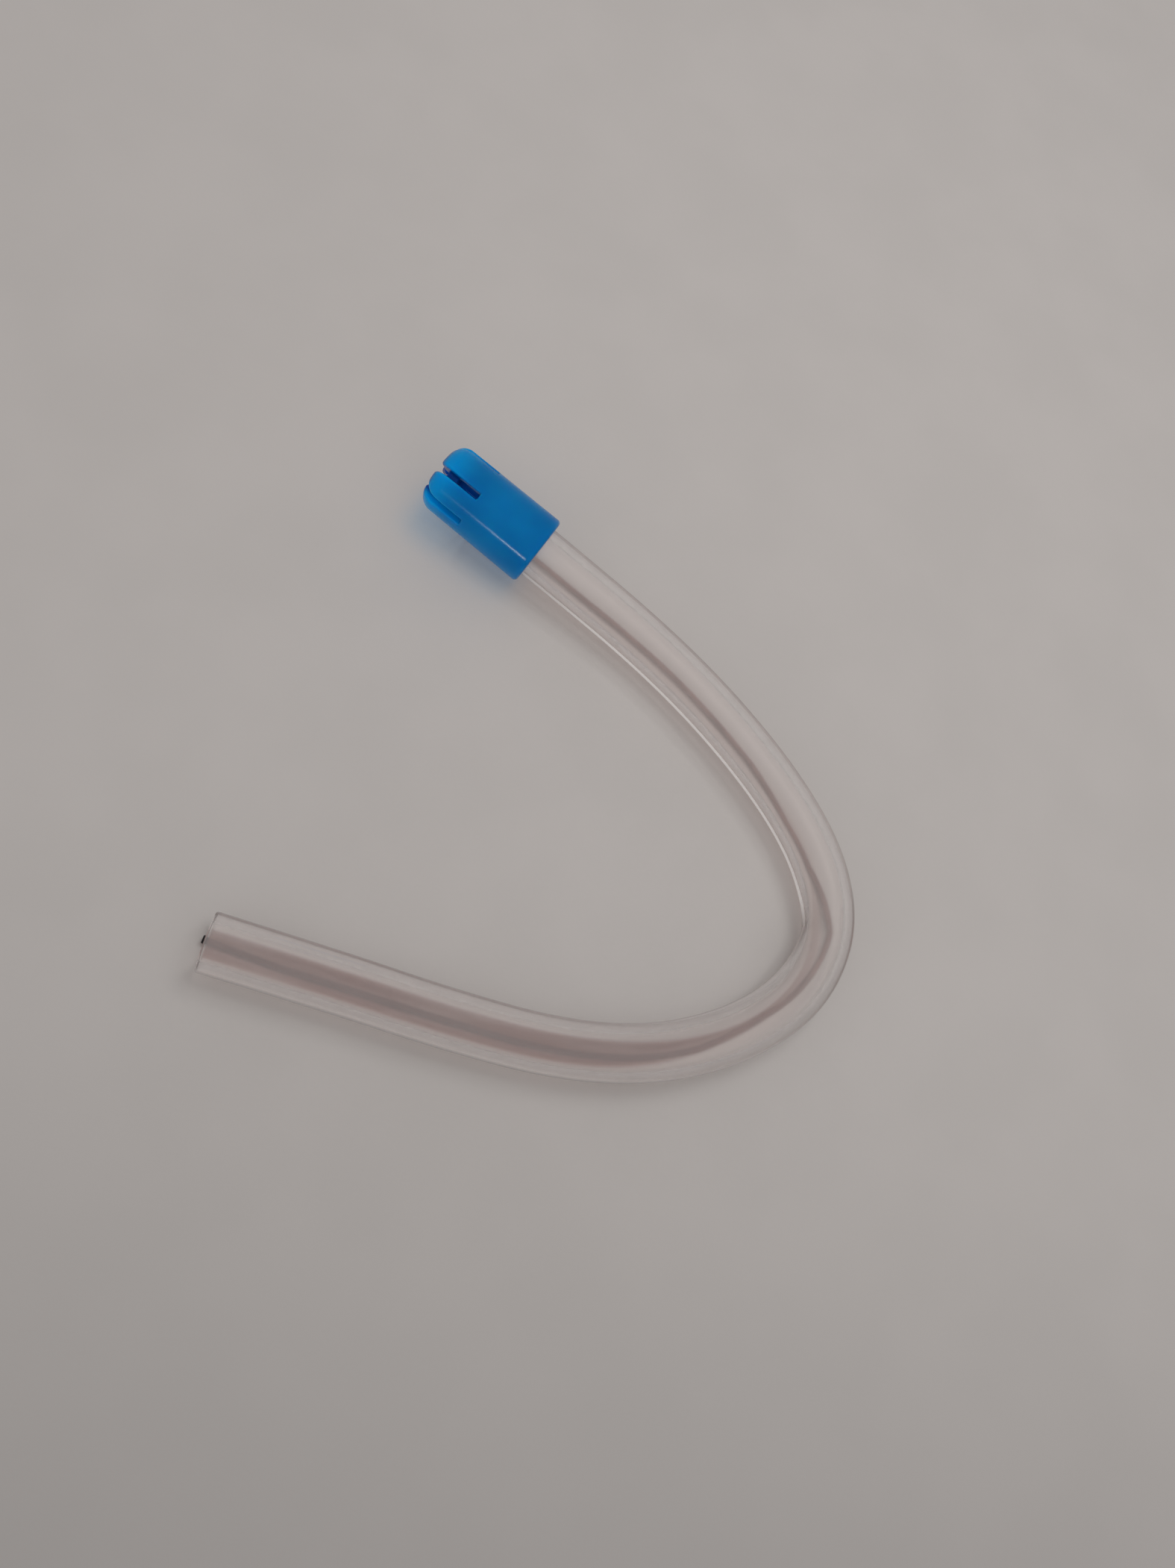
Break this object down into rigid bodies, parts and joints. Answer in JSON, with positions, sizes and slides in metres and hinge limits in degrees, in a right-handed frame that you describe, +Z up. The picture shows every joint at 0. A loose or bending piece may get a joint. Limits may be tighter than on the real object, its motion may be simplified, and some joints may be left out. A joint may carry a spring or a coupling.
{
  "type": "saliva ejector",
  "caption": "Clear soft suction tube bent into a hook by a wire sealed in its wall, with a blue slotted tip pushed over one end and the other end cut square.",
  "frame": {"origin": "middle of the hook's box, on the surface it lies on", "axes": "+Z up, away from the surface; -X the way the tube's supply end points; +Y from the supply arm towards the tip arm"},
  "size_m": [0.0697, 0.067, 0.0098],
  "materials": {
    "clear_vinyl": "clear, soft, glossy, faintly warm",
    "coppered_wire": "coppery brass plating on steel, dull under the vinyl",
    "blue_tip": "moulded, smooth, slightly translucent"
  },
  "bodies": {
    "supply_arm": {"tube_supply_arm": "clear_vinyl", "wire_supply_arm": "coppered_wire", "tube_crown": "clear_vinyl", "wire_crown": "coppered_wire"},
    "tip_arm": {"tube_tip_arm": "clear_vinyl", "wire_tip_arm": "coppered_wire"},
    "tip": {"suction_tip": "blue_tip"}
  },
  "joints": [
    {"name": "tube_bend", "type": "hinge", "parent": "supply_arm", "child": "tip_arm", "pos_m": [0.0293, -0.01, 0.00325], "axis": [0, 0, -1], "range_deg": [-20, 50], "deforming": ["tube_crown", "wire_crown"]},
    {"name": "tip_pull", "type": "slide", "parent": "tip_arm", "child": "tip", "axis": [-0.9483, 0.3053, 0.0873], "range_m": [0, 0.012]}
  ]
}
